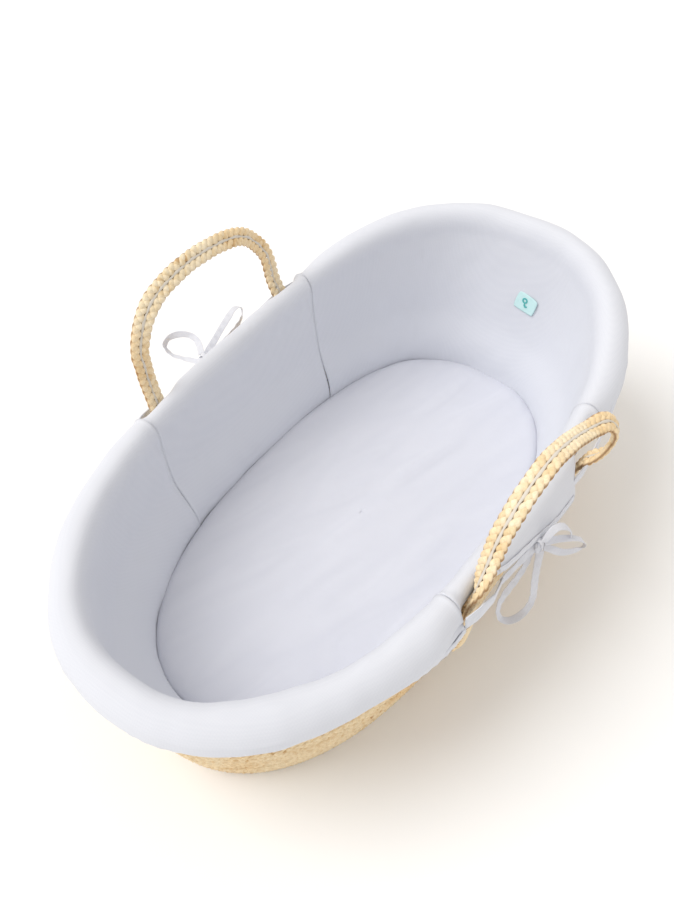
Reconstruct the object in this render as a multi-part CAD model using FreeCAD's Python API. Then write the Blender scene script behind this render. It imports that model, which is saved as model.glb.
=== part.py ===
import FreeCAD, Part

import math
import os

# Moses basket: an oval basket coiled from palm braid, with a padded cotton liner,
# two carrying handles and a mattress in a fitted sheet.
# Frame: origin on the floor under the middle of the rim, +X to the head end,
# +Y to the far long side, +Z up.  Millimetres.

# Driving dimensions
OVERALL_LENGTH = 840.0          # over the padded rim
OVERALL_WIDTH = 490.0
RIM_TOP_HEAD = 294.0            # top of the padded rim at the head end
RIM_TOP_FOOT = 224.0
RIM_TOP_SIDE = 230.0
ROLL_RADIUS = 25.0              # padded rim, over its cotton
ROLL_SLIM = 9.0                 # the rim is this much flatter on its inner side
BASE_LENGTH = 705.0
BASE_WIDTH = 368.0
BASE_SHIFT = -10.0              # the base sits towards the foot end
MATTRESS_LENGTH = 666.0
MATTRESS_WIDTH = 343.0
MATTRESS_TOP = 54.0
MATTRESS_SHIFT = 6.0

# Outline shape: powers of the rounded oval, and how fast the rim climbs to each end
HEAD_POWER = 0.78
FOOT_POWER = 0.87
HEAD_CLIMB = 1.4
FOOT_CLIMB = 1.7
PINCH = 12.0                    # the near side is pulled in between its handle feet
PINCH_CENTRE = -20.0
PINCH_REACH = 170.0

# Thicknesses
BASE_THICKNESS = 10.0
WALL_THICKNESS = 9.0
WALL_BULGE = 8.0
WALL_STOP = 4.0                 # the wall ends this far under the middle of the rim roll
PAD_THICKNESS = 7.0             # padded lining of the inside wall
COTTON = 3.6                    # quilted cotton over the rim wadding
GAP = 0.3
LINER_GAP = 1.2                 # between the wall and the back of the liner
BORDER_RADIUS = 5.5             # thick braid along the top of the wall
BORDER_LIFT = 1.8
HEM_RADIUS = 3.2
HEM_DROP = 14.0                 # hem below the middle of the rim roll
HEM_OUT = 20.0
FLAP_OUT = 15.0                 # the side flaps lie flatter than the padded ends
FAR_TAIL_OUT = 28.2             # the skirts' narrow ends pass outside the handle feet
NEAR_TAIL_OUT = 21.5
SHEET_THICKNESS = 2.0
LABEL_SIZE = (33.0, 0.8, 27.0)
LABEL_ANGLE = -0.10             # to the near side of the head end
LABEL_HEIGHT = 184.0
LABEL_STAND = 2.4
LABEL_TURN = 8.0                # sewn on a little askew

# Where the panels of the liner are sewn together, and where the flaps end
SEAM_HEAD = 166.0
SEAM_FOOT = -142.0
FLAP_HEAD = 84.0
FLAP_FOOT = -86.0

# Handles
BRAID_RADIUS = 6.0
HANDLE_CORD_RADIUS = 1.4
BRAID_OFFSET = BRAID_RADIUS + HANDLE_CORD_RADIUS + 1.4
HINGE_HEIGHT = 256.0
HINGE_ROOM = 13.0               # clear length on each side of the line where a strap bends
TAIL_MID = 206.0
TAIL_END = 110.0
TAIL_STAND = WALL_THICKNESS / 2 + BRAID_RADIUS + 1.0
TAIL_MID_STAND = 14.0           # out past the border braid
LASHING_SIZE = (36.0, 1.5, 6.0)
LASHING_HEIGHTS = (125.0, 158.0)
FAR_HINGE = 246.0
NEAR_HINGE = -220.0
FAR_FEET = (-103.0, 143.0)       # where each strap is lashed to the wall
NEAR_FEET = (-116.0, 122.0)
# Middle line of each strap above its hinge, and how its outer braid lies at each point:
# 0 degrees is straight away from the basket, 90 is on the outside of the arch
FAR_STRAP = [
    ((-100, 246, 269), 90), ((-100, 250, 287), 75), ((-68, 257, 332), 45), ((-9, 258, 347), 50),
    ((47, 258, 345), 52), ((104, 257, 332), 60), ((139, 256, 289), 80), ((141, 248, 269), 90),
]
NEAR_STRAP = [
    ((-96, -221, 269), 90), ((-89, -222, 291), 80), ((-68, -225, 320), 35), ((-22, -229, 342), 8),
    ((30, -231, 326), 0), ((84, -234, 297), -8), ((119, -242, 284), -55), ((124, -231, 269), -85),
]

# Bows: each route starts at, or is counted from, its own knot
TIE_RADIUS = 3.0
KNOT_RADIUS = 7.5
NEAR_KNOT = (-4, -238, 191)
FAR_KNOT = (8, 258, 188)
NEAR_TIE_FOOT = [(-5, 1, 1), (-24, 3, 4), (-43, 6, 2), (-64, 10, -3)]
NEAR_TIE_HEAD = [(5, 0, 2), (26, 0, 3), (48, 2, 2), (71, 7, 3)]
NEAR_LOOP_LOW = [
    (-4, 3, -5), (-12, 2, -20), (-25, 4, -37), (-38, 9, -55), (-48, 11, -74), (-50, 7, -93),
    (-41, -2, -107), (-27, -11, -106), (-17, -16, -90), (-15, -16, -69), (-16, -13, -46), (-13, -10, -25),
    (-2, -5, -5),
]
NEAR_LOOP_SIDE = [
    (5, -5, 4), (18, -13, 0), (32, -23, -5), (44, -33, -12), (51, -39, -24),
    (48, -35, -36), (37, -25, -38), (26, -19, -29), (16, -14, -17), (5, -6, -5),
]
NEAR_TAIL = [(2, -5, 6), (8, -7, 16), (18, -10, 21), (29, -16, 15), (36, -22, 3), (38, -25, -11)]
FAR_TIE_FOOT = [(-5, -1, 0), (-28, -3, -3), (-52, -9, -3), (-77, -18, 0)]
FAR_TIE_HEAD = [(5, -1, 1), (22, -4, 0), (40, -10, 1), (60, -18, 5)]
FAR_LOOP_LOW = [
    (2, 6, 4), (14, 19, 5), (20, 34, 8), (14, 49, 11), (0, 62, 8), (-9, 66, -4),
    (-9, 54, -14), (-6, 38, -13), (-4, 22, -10), (-3, 5, -5),
]
FAR_LOOP_SIDE = [
    (5, 1, 4), (26, 5, 9), (47, 10, 14), (66, 12, 21), (82, 14, 27), (95, 13, 20),
    (93, 11, 5), (78, 10, -5), (57, 8, -7), (32, 5, -7), (5, 2, -5),
]
FAR_TAIL = [(-3, 5, -6), (-8, 9, -20), (-18, 9, -34), (-30, 5, -46), (-36, -3, -62)]

STATION_COUNT = 40              # flat stretches round the basket


def vector(x, y, z):
    return FreeCAD.Vector(x, y, z)


def save(shape, node):
    shape.exportStep("parts/" + node + ".step")


def oval(angle, half_length, half_width):
    """Point of a rounded oval that is fuller at the foot end than at the head end."""
    cosine = math.cos(angle)
    sine = math.sin(angle)
    power = HEAD_POWER if cosine > 0 else FOOT_POWER
    x = math.copysign(half_length * abs(cosine) ** power, cosine)
    y = math.copysign(half_width * abs(sine) ** power, sine)
    return x, y


def pinched(x, y):
    if y >= 0:
        return y
    return y + PINCH * math.exp(-((x - PINCH_CENTRE) / PINCH_REACH) ** 2)


RIM_HALF_LENGTH = OVERALL_LENGTH / 2 - ROLL_RADIUS
RIM_HALF_WIDTH = OVERALL_WIDTH / 2 - ROLL_RADIUS
BASE_HALF_LENGTH = (BASE_LENGTH - WALL_THICKNESS) / 2
BASE_HALF_WIDTH = (BASE_WIDTH - WALL_THICKNESS) / 2


def rim_point(angle):
    x, y = oval(angle, RIM_HALF_LENGTH, RIM_HALF_WIDTH)
    return x, pinched(x, y)


def roll_height(angle):
    """Height of the middle of the rim roll."""
    x = rim_point(angle)[0]
    share = abs(x) / RIM_HALF_LENGTH
    if x > 0:
        top = RIM_TOP_SIDE + (RIM_TOP_HEAD - RIM_TOP_SIDE) * share ** HEAD_CLIMB
    else:
        top = RIM_TOP_SIDE + (RIM_TOP_FOOT - RIM_TOP_SIDE) * share ** FOOT_CLIMB
    return top - ROLL_RADIUS


def outward(angle):
    """Unit vector that points straight out of the basket."""
    step = 0.02
    x0, y0 = rim_point(angle - step)
    x1, y1 = rim_point(angle + step)
    length = math.hypot(x1 - x0, y1 - y0)
    return (y1 - y0) / length, -(x1 - x0) / length


def base_stand(angle):
    """How far the wall's foot stands outward of the rim; negative, because the wall flares."""
    xr, yr = rim_point(angle)
    xb, yb = oval(angle, BASE_HALF_LENGTH, BASE_HALF_WIDTH)
    nx, ny = outward(angle)
    return (xb + BASE_SHIFT - xr) * nx + (yb - yr) * ny


def wall_place(angle, height, stand):
    """Point at a height on the wall's mid surface, moved outward by stand."""
    share = height / roll_height(angle)
    xr, yr = rim_point(angle)
    nx, ny = outward(angle)
    out = stand + base_stand(angle) * (1 - share) + WALL_BULGE * 4 * share * (1 - share)
    return vector(xr + nx * out, yr + ny * out, height)


def roll_place(angle, stand, lift):
    """Point counted from the middle of the rim roll."""
    xr, yr = rim_point(angle)
    nx, ny = outward(angle)
    return vector(xr + nx * stand, yr + ny * stand, roll_height(angle) + lift)


def angle_at(x, side):
    """Angle of the oval where the rim passes x, on the far (1) or near (-1) side."""
    power = HEAD_POWER if x > 0 else FOOT_POWER
    cosine = math.copysign((abs(x) / RIM_HALF_LENGTH) ** (1 / power), x)
    return side * math.acos(cosine)


def shared_angles():
    """Angles at which every piece has a section, so that their flat stretches run side by side."""
    breaks = [angle_at(x, side) % (2 * math.pi) for side in (1, -1) for x in (SEAM_HEAD, SEAM_FOOT)]
    breaks += [angle_at(x, side) % (2 * math.pi) for side in (1, -1) for x in (FLAP_HEAD, FLAP_FOOT)]
    even = [2 * math.pi * (i + 0.5) / STATION_COUNT for i in range(STATION_COUNT)]
    clear = 0.25 * 2 * math.pi / STATION_COUNT
    kept = [a for a in even if min(abs(a - b) for b in breaks) > clear]
    return sorted(breaks + kept)


SHARED_ANGLES = shared_angles()


def stations(start, end):
    """Start, the shared angles between, and end."""
    margin = 0.01
    turns = [a + 2 * math.pi * k for k in (-1, 0, 1) for a in SHARED_ANGLES]
    return [start] + sorted(a for a in turns if start + margin < a < end - margin) + [end]


def polygon(points):
    return Part.makePolygon(points + points[:1])


def swept(section, start, end):
    """Solid through the sections from one angle to another."""
    return Part.makeLoft([polygon(section(a)) for a in stations(start, end)], True, True)


def ring(section):
    """Solid that goes all round the basket."""
    return Part.makeLoft([polygon(section(a)) for a in SHARED_ANGLES], True, True, True)


def roll_arc(angle, radius, first, last, count, lift=0.0, slim=0.0):
    """Arc of the rim roll's section: 0 degrees is outward and 90 is up; slim flattens its inner side."""
    points = []
    for i in range(count):
        turn = math.radians(first + (last - first) * i / (count - 1))
        reach = radius if math.cos(turn) > 0 else radius - slim
        points.append(roll_place(angle, reach * math.cos(turn), lift + radius * math.sin(turn)))
    return points


# Basket body

def woven_base():
    inset = -WALL_THICKNESS / 2 - GAP
    edge = [wall_place(angle, 0, inset) for angle in SHARED_ANGLES]
    return Part.Face(polygon(edge)).extrude(vector(0, 0, BASE_THICKNESS))


def woven_wall():
    half = WALL_THICKNESS / 2

    def section(angle):
        top = roll_height(angle) - WALL_STOP
        heights = [top * i / 4 for i in range(5)]
        outer = [wall_place(angle, h, half) for h in heights]
        inner = [wall_place(angle, h, -half) for h in reversed(heights)]
        return outer + inner

    return ring(section)


def border_braid():
    def section(angle):
        return roll_arc(angle, BORDER_RADIUS, 0, 315, 8, BORDER_LIFT)

    return ring(section)


# Liner

def panel_section(angle, last):
    """Cotton panel: up the inside wall, over the rim, and down to the last angle outside."""
    half = WALL_THICKNESS / 2
    low = BASE_THICKNESS + 2
    high = roll_height(angle) - 24
    outer = ROLL_RADIUS
    inner = ROLL_RADIUS - COTTON
    heights = [low + (high - low) * i / 4 for i in range(5)]
    front = [wall_place(angle, h, -half - LINER_GAP - PAD_THICKNESS) for h in heights]
    back = [wall_place(angle, h, -half - LINER_GAP) for h in heights]
    over = roll_arc(angle, outer, 214, last, 9, slim=ROLL_SLIM)
    under = roll_arc(angle, inner, last, 210, 9, slim=ROLL_SLIM)
    return front + over + under + list(reversed(back))


def end_panel(start, end):
    """Head or foot panel; its outer fold reaches down to the hem."""
    return swept(lambda angle: panel_section(angle, -30), start, end)


def side_panel(start, end):
    """Side panel; its outer fold, between the handle feet, is the flap."""
    return swept(lambda angle: panel_section(angle, 82), start, end)


def side_flap(start, end):
    def section(angle):
        outer = roll_arc(angle, ROLL_RADIUS, 81, 60, 3)
        tip = [roll_place(angle, FLAP_OUT + 1, 6), roll_place(angle, FLAP_OUT + 1, -14)]
        back = [roll_place(angle, FLAP_OUT - 2, -14), roll_place(angle, FLAP_OUT - 2, 6)]
        inner = roll_arc(angle, ROLL_RADIUS - COTTON, 60, 81, 3)
        return outer + tip + back + inner

    return swept(section, start, end)


def rim_wadding(start, end, last):
    """Soft filling inside the rim roll, wrapped over the top of the wall."""
    radius = ROLL_RADIUS - COTTON - GAP
    slot = BORDER_RADIUS + GAP + 0.4

    def section(angle):
        outer = roll_arc(angle, radius, last, 206, 9, slim=ROLL_SLIM)
        inner = roll_arc(angle, slot, 180, max(last, 0), 7, BORDER_LIFT)
        foot = [roll_place(angle, -slot, radius * math.sin(math.radians(206)))]
        if last < 0:
            foot_out = [roll_place(angle, slot, radius * math.sin(math.radians(last)))]
        else:
            foot_out = []
        return outer + foot + inner + foot_out

    return swept(section, start, end)


def hem(start, end, stand, lift, radius):
    def section(angle):
        nx = [radius * math.cos(math.radians(60 * i)) for i in range(6)]
        nz = [radius * math.sin(math.radians(60 * i)) for i in range(6)]
        return [roll_place(angle, stand + a, lift + b) for a, b in zip(nx, nz)]

    return swept(section, start, end)


def skirt_tail(start, end, stand):
    """End of a skirt: passes outside the handle foot and narrows into its tie."""
    span = end - start

    def section(angle):
        share = (angle - start) / span
        top = 2 - 15 * share
        low = -26 + 5 * share
        return [
            roll_place(angle, stand, low),
            roll_place(angle, stand + 2.4, low),
            roll_place(angle, stand + 2.4, top),
            roll_place(angle, stand, top),
        ]

    return swept(section, start, end)


def seam_threads():
    """Raised stitching where two panels meet, down the inside wall."""
    stand = -WALL_THICKNESS / 2 - LINER_GAP - PAD_THICKNESS
    threads = []
    for x in (SEAM_HEAD, SEAM_FOOT):
        for side in (1, -1):
            angle = angle_at(x, side)
            low = wall_place(angle, BASE_THICKNESS + MATTRESS_TOP, stand - 0.9)
            high = wall_place(angle, roll_height(angle) - 26, stand - 0.9)
            threads.append(Part.makeCylinder(0.8, low.distanceToPoint(high), low, high - low))
    return Part.makeCompound(threads)


def sewn_label():
    angle = LABEL_ANGLE
    nx, ny = outward(angle)
    width, depth, height = LABEL_SIZE
    middle = wall_place(angle, LABEL_HEIGHT, -WALL_THICKNESS / 2 - LINER_GAP - PAD_THICKNESS - LABEL_STAND)
    rise = wall_place(angle, LABEL_HEIGHT + 10, 0) - wall_place(angle, LABEL_HEIGHT - 10, 0)
    along = vector(-ny, nx, 0)
    label = Part.makeBox(depth, width, height, vector(-depth / 2, -width / 2, -height / 2))
    label.rotate(vector(0, 0, 0), vector(1, 0, 0), LABEL_TURN)
    matrix = FreeCAD.Matrix()
    normal = along.cross(rise).normalize()
    up = rise.normalize()
    matrix.A11, matrix.A21, matrix.A31 = normal.x, normal.y, normal.z
    matrix.A12, matrix.A22, matrix.A32 = along.x, along.y, along.z
    matrix.A13, matrix.A23, matrix.A33 = up.x, up.y, up.z
    matrix.A14, matrix.A24, matrix.A34 = middle.x, middle.y, middle.z
    return label.transformGeometry(matrix)


# Mattress

def oval_block(half_low, half_high, low, high):
    """Block between two ovals; each half is (half length, half width)."""
    count = 64
    wires = []
    for half, z in ((half_low, low), (half_high, high)):
        edge = [oval(2 * math.pi * i / count, half[0], half[1]) for i in range(count)]
        wires.append(polygon([vector(x + MATTRESS_SHIFT, y, z) for x, y in edge]))
    return Part.makeLoft(wires, True, True)


def mattress():
    half_high = (MATTRESS_LENGTH / 2, MATTRESS_WIDTH / 2)
    half_low = (half_high[0] - 11, half_high[1] - 8)
    low = BASE_THICKNESS + 1
    inset = SHEET_THICKNESS + 0.1
    outside = oval_block(half_low, half_high, low, MATTRESS_TOP)
    hollow = oval_block(
        (half_low[0] - inset, half_low[1] - inset),
        (half_high[0] - inset, half_high[1] - inset),
        low - 1, MATTRESS_TOP - SHEET_THICKNESS,
    )
    core = oval_block(
        (half_low[0] - inset - 0.2, half_low[1] - inset - 0.2),
        (half_high[0] - inset - 0.2, half_high[1] - inset - 0.2),
        low, MATTRESS_TOP - SHEET_THICKNESS,
    )
    return core, outside.cut(hollow)


# Handles

def tube(points, radius):
    """Straight runs joined by tangent arcs as large as their runs allow."""
    edges = []
    radii = []
    start = points[0]
    for before, corner, after in zip(points, points[1:], points[2:]):
        back = (before - corner)
        ahead = (after - corner)
        run = min(back.Length, ahead.Length)
        back.normalize()
        ahead.normalize()
        turn = math.pi - back.getAngle(ahead)
        reach = 0.45 * run
        radii.append(reach / math.tan(turn / 2))
        first = corner + back * reach
        last = corner + ahead * reach
        depth = (back + ahead).normalize()
        drop = radii[-1] / math.cos(turn / 2) - radii[-1]
        edges.append(Part.LineSegment(start, first).toShape())
        edges.append(Part.Arc(first, corner + depth * drop, last).toShape())
        start = last
    edges.append(Part.LineSegment(start, points[-1]).toShape())
    path = Part.Wire(edges)
    ahead = points[1] - points[0]
    profile = Part.Wire([Part.makeCircle(radius, points[0], ahead)])
    solid = path.makePipeShell([profile], True, False)
    return solid, path.Length, min(radii)


def checked_tube(name, points, radius):
    solid, length, tightest = tube(points, radius)
    ratio = solid.Volume / (math.pi * radius ** 2 * length)
    print(f"{name}: length {length:.0f}, tightest radius {tightest:.1f}, volume ratio {ratio:.3f}")
    return solid


def strap_strands(name, strap, side):
    """Two braids side by side with a cotton cord between them, bent into one arch."""
    places = [vector(*place) for place, _ in strap]
    aparts = []
    for before, after, (_, tilt) in zip(places[:1] + places, places[1:] + places[-1:], strap):
        ahead = (after - before).normalize()
        across = vector(0, side, 0)
        across = (across - ahead * across.dot(ahead)).normalize()
        over = ahead.cross(across) * side
        aparts.append(across * math.cos(math.radians(tilt)) + over * math.sin(math.radians(tilt)))
    strands = []
    for offset, radius in ((-BRAID_OFFSET, BRAID_RADIUS), (BRAID_OFFSET, BRAID_RADIUS), (0, HANDLE_CORD_RADIUS)):
        points = [place + apart * offset for place, apart in zip(places, aparts)]
        strands.append(checked_tube(f"{name} strand {offset:.0f}", points, radius))
    return strands


def handle_tail(foot, top, side):
    """End of a strap: down the outside of the wall, braids side by side along the wall."""
    angle = angle_at(foot, side)
    nx, ny = outward(angle)
    strands = []
    for offset, radius in ((-BRAID_OFFSET, BRAID_RADIUS), (BRAID_OFFSET, BRAID_RADIUS), (0, HANDLE_CORD_RADIUS)):
        shift = vector(-ny, nx, 0) * offset
        low = wall_place(angle, TAIL_END, TAIL_STAND)
        middle = wall_place(angle, TAIL_MID, TAIL_MID_STAND)
        strands.append(tube([low + shift, middle + shift, vector(*top) + shift], radius)[0])
    return Part.makeCompound(strands)


def lashings():
    """Palm stitches that hold the strap ends to the wall."""
    width, depth, height = LASHING_SIZE
    stitches = []
    for feet, side in ((FAR_FEET, 1), (NEAR_FEET, -1)):
        for x in feet:
            angle = angle_at(x, side)
            nx, ny = outward(angle)
            for level in LASHING_HEIGHTS:
                place = wall_place(angle, level, TAIL_STAND + BRAID_RADIUS + 1.6)
                stitch = Part.makeBox(width, depth, height, vector(-width / 2, 0, -height / 2))
                turn = math.degrees(math.atan2(ny, nx)) - 90
                stitch.rotate(vector(0, 0, 0), vector(0, 0, 1), turn)
                stitch.translate(place)
                stitches.append(stitch)
    return Part.makeCompound(stitches)


# Bows

def tie(name, knot, route):
    points = [vector(*knot) + vector(*step) for step in route]
    return checked_tube(name, points, TIE_RADIUS)


def knot_solid(knot):
    low = vector(*knot) - vector(0, 0, KNOT_RADIUS)
    return Part.makeCylinder(KNOT_RADIUS, 2 * KNOT_RADIUS, low)


def save_side(name, side, tail_out):
    """Liner pieces of one long side."""
    seams = sorted((angle_at(SEAM_FOOT, side), angle_at(SEAM_HEAD, side)))
    flap = sorted((angle_at(FLAP_FOOT, side), angle_at(FLAP_HEAD, side)))
    save(side_panel(*seams), name + "_panel")
    save(rim_wadding(seams[0], seams[1], 80), name + "_rim_wadding")
    save(side_flap(*flap), name + "_flap")
    save(hem(flap[0], flap[1], FLAP_OUT - 0.5, -17, HEM_RADIUS), name + "_flap_hem")
    for end, seam, tip in (("foot", SEAM_FOOT, FLAP_FOOT + 26), ("head", SEAM_HEAD, FLAP_HEAD - 18)):
        tail = skirt_tail(angle_at(seam, side), angle_at(tip, side), tail_out)
        save(tail, f"{name}_skirt_tail_{end}")


def save_end(name, start, end):
    """Liner pieces of the head or the foot end."""
    save(end_panel(start, end), name + "_panel")
    save(rim_wadding(start, end, -28), name + "_rim_wadding")
    save(hem(start, end, HEM_OUT, -HEM_DROP, HEM_RADIUS), name + "_skirt_hem")


def save_handle(name, strap, feet, side, hinge):
    inner, outer, cord = strap_strands(name, strap, side)
    save(inner, name + "_handle_inner_braid")
    save(outer, name + "_handle_outer_braid")
    save(cord, name + "_handle_cord")
    for end, foot, (place, _) in (("foot", feet[0], strap[0]), ("head", feet[1], strap[-1])):
        top = (place[0], hinge, HINGE_HEIGHT - HINGE_ROOM)
        save(handle_tail(foot, top, side), f"{name}_handle_tail_{end}")


def save_bow(name, knot, routes):
    save(knot_solid(knot), name + "_knot")
    for piece, route in routes.items():
        save(tie(f"{name}_{piece}", knot, route), f"{name}_{piece}")


os.makedirs("parts", exist_ok=True)

save(woven_base(), "woven_base")
save(woven_wall(), "woven_wall")
save(border_braid(), "border_braid")

save_side("far", 1, FAR_TAIL_OUT)
save_side("near", -1, NEAR_TAIL_OUT)
save_end("head", angle_at(SEAM_HEAD, -1), angle_at(SEAM_HEAD, 1))
save_end("foot", angle_at(SEAM_FOOT, 1), 2 * math.pi + angle_at(SEAM_FOOT, -1))
save(seam_threads(), "seam_threads")
save(sewn_label(), "sewn_label")

core, sheet = mattress()
save(core, "mattress_core")
save(sheet, "fitted_sheet")

save_handle("far", FAR_STRAP, FAR_FEET, 1, FAR_HINGE)
save_handle("near", NEAR_STRAP, NEAR_FEET, -1, NEAR_HINGE)
save(lashings(), "handle_lashings")

save_bow("near", NEAR_KNOT, {
    "tie_foot": NEAR_TIE_FOOT, "tie_head": NEAR_TIE_HEAD,
    "loop_low": NEAR_LOOP_LOW, "loop_side": NEAR_LOOP_SIDE, "bow_tail": NEAR_TAIL,
})
save_bow("far", FAR_KNOT, {
    "tie_foot": FAR_TIE_FOOT, "tie_head": FAR_TIE_HEAD,
    "loop_low": FAR_LOOP_LOW, "loop_side": FAR_LOOP_SIDE, "bow_tail": FAR_TAIL,
})
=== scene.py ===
import math

import bpy
import numpy as np
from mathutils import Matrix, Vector


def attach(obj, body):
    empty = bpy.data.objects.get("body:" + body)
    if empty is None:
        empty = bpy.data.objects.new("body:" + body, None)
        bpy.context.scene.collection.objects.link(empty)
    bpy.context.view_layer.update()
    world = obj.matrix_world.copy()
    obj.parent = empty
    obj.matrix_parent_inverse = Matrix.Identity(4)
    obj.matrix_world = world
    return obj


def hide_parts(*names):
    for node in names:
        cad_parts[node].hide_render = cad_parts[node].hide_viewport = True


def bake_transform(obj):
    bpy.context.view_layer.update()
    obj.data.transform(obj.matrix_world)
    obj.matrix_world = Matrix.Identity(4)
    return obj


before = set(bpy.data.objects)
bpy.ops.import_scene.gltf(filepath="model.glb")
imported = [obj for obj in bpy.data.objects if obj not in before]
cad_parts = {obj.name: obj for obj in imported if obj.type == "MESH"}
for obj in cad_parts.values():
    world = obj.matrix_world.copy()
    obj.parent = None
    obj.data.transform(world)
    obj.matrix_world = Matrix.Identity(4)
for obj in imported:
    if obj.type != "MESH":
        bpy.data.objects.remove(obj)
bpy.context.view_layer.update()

# Moses basket: palm plaits coiled into an oval wall, a padded cotton liner folded over
# the rim, two strap handles, two tied bows, and a mattress in a fitted sheet.
# Metres, +X to the head end, +Y to the far long side, +Z up.

RANDOM = np.random.default_rng(7)
SEEDS = dict(head=11, foot=23, near=31, far=47, creases=41, sheet=61, wide_sheet=67)

# Rim, wall and base
ROLL_RADIUS = 0.025
ROLL_SLIM = 0.011               # the rim is flatter on its inner side, except at the near foot corner
RIM_HALF_LENGTH = 0.420 - ROLL_RADIUS
RIM_HALF_WIDTH = 0.245 - ROLL_RADIUS
RIM_TOP_HEAD = 0.294
RIM_TOP_FOOT = 0.224
RIM_TOP_SIDE = 0.230
HEAD_POWER = 0.78
FOOT_POWER = 0.87
HEAD_CLIMB = 1.4
FOOT_CLIMB = 1.7
PINCH = 0.012
PINCH_CENTRE = -0.020
PINCH_REACH = 0.170
BASE_HALF_LENGTH = 0.348
BASE_HALF_WIDTH = 0.1795
BASE_SHIFT = -0.010
WALL_BULGE = 0.008
WALL_STOP = 0.004
CORNER_ANGLE = 3.8              # of the corner between the foot end and the near side
WALL_ROWS = 19
FLOOR_CLEAR = 0.0003            # the lowest leaves are pressed flat
BASE_ROWS = 15
ROW_PITCH = 0.0106

# Liner
LINER_STAND = -0.0130           # face of the padded lining, counted from the middle of the wall
LINER_THICKNESS = 0.0024
LINER_STEP = 0.0034
LINER_COLUMNS = 104
LINER_LOW = 0.013               # the lining starts just above the base
SWELL_HEIGHT = 0.085            # the lining swells over this height to meet the mattress
STITCH_PITCH = 0.0042
THREAD_HALF = (0.0004, 0.0009)
SEAM_HEAD = 0.166
SEAM_FOOT = -0.142
SEAM_STAND = 0.0235             # of the folded edge at the seams, where it is tight
RIDGE_DEPTH = 0.0017            # of the lengthwise creases outside the roll
GATHER_DEPTH = 0.0006
HEM_THICKNESS = 0.0009
WADDING_INNER = 0.0215          # half sizes of the rim's filling
WADDING_OUTER = 0.0145
WADDING_HEIGHT = 0.0205
WADDING_THICKNESS = 0.0030
HEM_LIFT = -0.0130              # of the skirts' lower edge, counted from the middle of the rim roll
# How far the skirts' lower edge stands out: tight round the corners, out over the strap ends
HEM_STANDS = [(-0.395, 0.020), (-0.384, 0.019), (-0.351, 0.0135), (-0.308, 0.0135), (-0.255, 0.017),
              (-0.185, 0.0215), (-0.146, 0.0235), (0.170, 0.0245), (0.220, 0.021), (0.395, 0.019)]
HEM_SECTION = [(-0.0016, 0.0), (-0.0010, -0.0011), (0.0004, -0.0014), (0.0014, -0.0008),
               (0.0017, 0.0012), (0.0016, 0.0045), (0.0013, 0.0070), (0.0003, 0.0085)]
# Outer edge of each side's fold: along the basket, out from the rim, and up from the roll's middle
FLAP_EDGES = {
    "near": [
        (-0.142, 0.009, -0.006), (-0.118, 0.0066, 0.002), (-0.098, 0.0075, 0.006),
        (-0.080, 0.019, 0.013), (-0.056, 0.023, 0.006), (-0.003, 0.027, -0.008),
        (0.042, 0.032, -0.019), (0.080, 0.032, -0.024), (0.096, 0.020, -0.018),
        (0.106, 0.0066, -0.010), (0.150, 0.0066, -0.006), (0.166, 0.010, -0.006),
    ],
    "far": [
        (-0.142, 0.010, -0.006), (-0.122, 0.0066, 0.000), (-0.088, 0.0070, -0.004),
        (-0.066, 0.0165, -0.016), (0.070, 0.0165, -0.017), (0.110, 0.0120, -0.014),
        (0.126, 0.0066, -0.006), (0.152, 0.0066, -0.004), (0.166, 0.010, -0.006),
    ],
}
FLAP_HEMS = {"near": (-0.080, 0.080), "far": (-0.066, 0.070)}   # where that edge hangs free
LABEL_ANGLE = -0.10
LABEL_HEIGHT = 0.184
LABEL_HALF = (0.0165, 0.0135)
LABEL_TURN = 8.0
LABEL_STAND = 0.0048
LABEL_THICKNESS = 0.0006
LEAVES = ((-0.9, 0.0050), (0.35, 0.0062))   # tilt and length of each
RING_RADIUS = 0.0032
RING_HALF = 0.0011
MOTIF_STAND = 0.0011
MOTIF_THICKNESS = 0.00025

# Handles
TAIL_END = 0.110
TAIL_MID = 0.206
TAIL_STAND = 0.0115
TAIL_MID_STAND = 0.014
BRAID_OFFSET = 0.0062
STRAP_TAPE_HALF = (0.0016, 0.0009)
LASHING_LEVELS = (0.122, 0.161)
LASHINGS = 7
LASHING_HALF = 0.0158
LASHING_DEPTH = 0.0170
LASHING_STRAND = (0.0022, 0.0006)
# Middle line of each strap above its lashed ends, and how its outer braid lies at each point:
# 0 degrees is straight away from the basket, 90 is on the outside of the arch
HANDLES = {
    "far": dict(side=1, hinge=0.246, middle=0.019, feet=(-0.103, 0.143), strap=[
        ((-0.100, 0.246, 0.243), 90), ((-0.100, 0.246, 0.269), 90), ((-0.100, 0.250, 0.287), 75),
        ((-0.068, 0.257, 0.332), 45), ((-0.009, 0.258, 0.347), 50), ((0.047, 0.258, 0.345), 52),
        ((0.104, 0.257, 0.332), 60), ((0.139, 0.256, 0.289), 80), ((0.141, 0.248, 0.269), 90),
        ((0.141, 0.246, 0.243), 90),
    ]),
    "near": dict(side=-1, hinge=-0.220, middle=0.014, feet=(-0.116, 0.120), strap=[
        ((-0.107, -0.221, 0.243), 20), ((-0.096, -0.221, 0.269), 10), ((-0.089, -0.222, 0.291), 6),
        ((-0.068, -0.225, 0.320), 6), ((-0.022, -0.229, 0.342), 2), ((0.030, -0.231, 0.326), 0),
        ((0.084, -0.234, 0.297), -5), ((0.122, -0.242, 0.286), -45), ((0.130, -0.255, 0.264), -75),
        ((0.114, -0.251, 0.238), -90),
    ]),
}

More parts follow.
